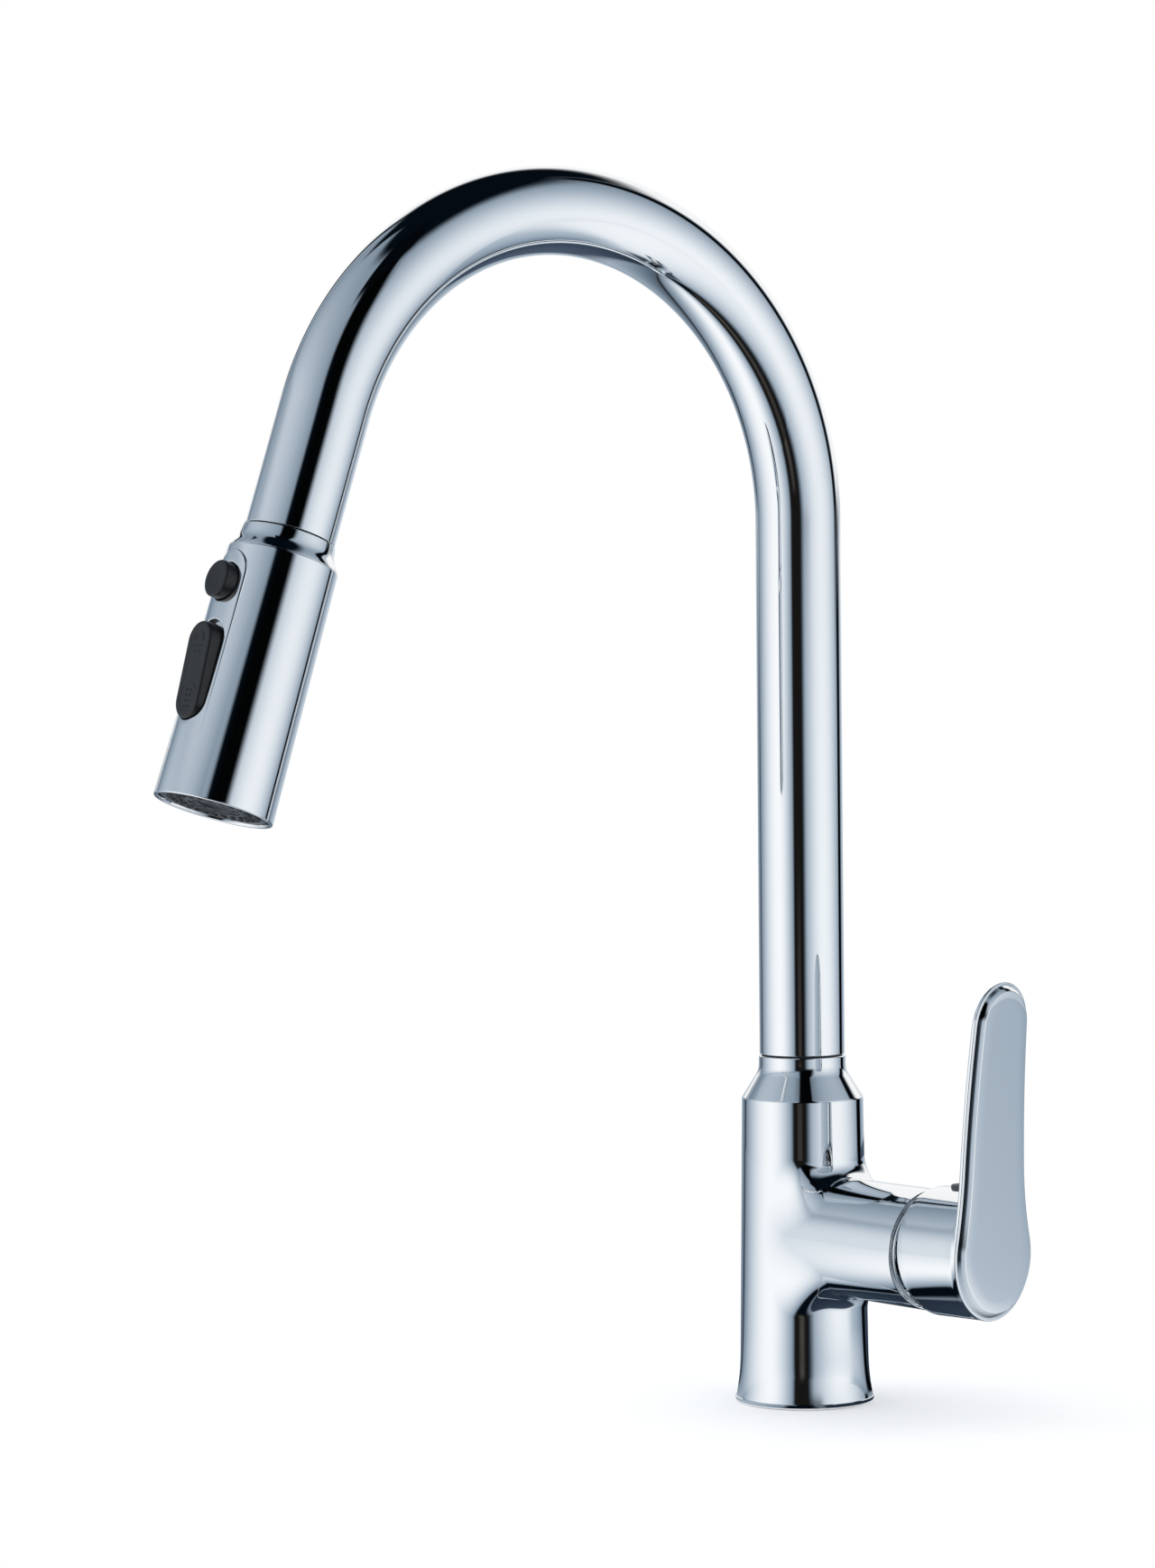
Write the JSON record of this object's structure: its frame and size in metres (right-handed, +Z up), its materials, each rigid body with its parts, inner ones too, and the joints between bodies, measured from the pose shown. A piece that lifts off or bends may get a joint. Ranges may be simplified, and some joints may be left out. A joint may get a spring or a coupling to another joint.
{
  "type": "pull-down kitchen faucet",
  "caption": "Single-lever kitchen mixer with a swivelling gooseneck spout and a pull-down spray head that has a pause button and a mode rocker.",
  "frame": {"origin": "centre of the underside, on the column's axis, where the body stands on the sink or worktop", "axes": "+Z up the column, -Y towards the spout's outlet, +X out along the lever's side boss"},
  "size_m": [0.1225, 0.2694, 0.4003],
  "materials": {
    "polished_chrome": "mirror-polished chrome plate over brass, zinc and plastic",
    "bright_steel": "bright stainless steel, turned or drawn",
    "turned_brass": "bare turned brass",
    "black_rubber": "moulded black rubber",
    "white_plastic": "natural acetal, matt",
    "white_ceramic": "lapped white ceramic",
    "blue_plastic": "moulded plastic, matt blue",
    "orange_plastic": "moulded plastic, matt orange",
    "grey_plastic": "dark grey plastic with moulded ribs",
    "dark_plastic": "black moulded plastic",
    "dark_magnet": "plastic-bonded magnet, dark grey",
    "button_plastic": "charcoal soft-touch plastic",
    "nozzle_rubber": "grey silicone rubber",
    "spray_plastic": "dark grey moulded plastic",
    "braided_hose": "grey woven nylon braid over a rubber tube"
  },
  "bodies": {
    "base": {"valve_body": "polished_chrome", "base_seal": "black_rubber", "spout_screw": "bright_steel", "port_seals": "black_rubber", "cartridge_base": "white_plastic", "fixed_disc": "white_ceramic", "cartridge_housing": "white_plastic", "cartridge_nut": "turned_brass", "bonnet": "polished_chrome"},
    "lever_turner": {"stem_carrier": "blue_plastic", "pivot_pin": "bright_steel"},
    "lever": {"lever_handle": "polished_chrome", "lever_stem": "turned_brass", "handle_screw": "bright_steel", "screw_plug": "grey_plastic"},
    "control_disc": {"disc_carrier": "orange_plastic", "moving_disc": "white_ceramic"},
    "spout": {"gooseneck_tube": "polished_chrome", "spout_spindle": "turned_brass", "glide_ring_upper": "white_plastic", "glide_ring_lower": "white_plastic", "swivel_washer": "dark_plastic", "dock_bush": "dark_plastic", "dock_magnet": "dark_magnet", "pull_hose": "braided_hose"},
    "hose_end": {"hose_ferrule": "bright_steel", "hose_coupling": "turned_brass", "dock_ring": "bright_steel"},
    "spray_head": {"neck_collar": "polished_chrome", "head_shell": "polished_chrome", "swivel_seal": "black_rubber", "filter_screen": "bright_steel", "check_valve": "white_plastic", "core_seal": "black_rubber", "valve_core": "dark_plastic", "rocker_pin": "bright_steel", "pause_spring": "bright_steel", "flow_divider": "dark_plastic", "nozzle_mat": "nozzle_rubber", "spray_plate": "spray_plastic", "aerator_housing": "spray_plastic", "aerator_mesh": "bright_steel"},
    "pause_button": {"pause_button": "button_plastic"},
    "rocker": {"rocker": "button_plastic"}
  },
  "joints": [
    {"name": "spout_swivel", "type": "hinge", "parent": "base", "child": "spout", "pos_m": [0, 0, 0.11455], "axis": [0, 0, 1], "continuous": true},
    {"name": "lever_turn", "type": "hinge", "parent": "base", "child": "lever_turner", "pos_m": [0.056, 0, 0.0557], "axis": [1, 0, 0], "range_deg": [-45, 45]},
    {"name": "lever_lift", "type": "hinge", "parent": "lever_turner", "child": "lever", "pos_m": [0.056, 0, 0.0557], "axis": [0, 1, 0], "range_deg": [0, 20]},
    {"name": "disc_slide", "type": "slide", "parent": "lever_turner", "child": "control_disc", "axis": [0, 0, 1], "range_m": [0, 0.0039]},
    {"name": "hose_pull", "type": "slide", "parent": "spout", "child": "hose_end", "axis": [0, -0.3272, -0.9449], "range_m": [0, 0.4]},
    {"name": "head_turn", "type": "hinge", "parent": "hose_end", "child": "spray_head", "pos_m": [0, -0.20094, 0.28256], "axis": [0, -0.3272, -0.9449], "continuous": true},
    {"name": "pause_push", "type": "slide", "parent": "spray_head", "child": "pause_button", "axis": [0, 0.9449, -0.3272], "range_m": [0, 0.0024], "stiffness_N_per_m": 900, "deforming": ["pause_spring"]},
    {"name": "rocker_tilt", "type": "hinge", "parent": "spray_head", "child": "rocker", "pos_m": [0, -0.22714, 0.24052], "axis": [-1, 0, 0], "range_deg": [0, 9]}
  ],
  "couplings": [
    {"joint": "disc_slide", "follows": "lever_lift", "m_per_rad": 0.011119}
  ]
}
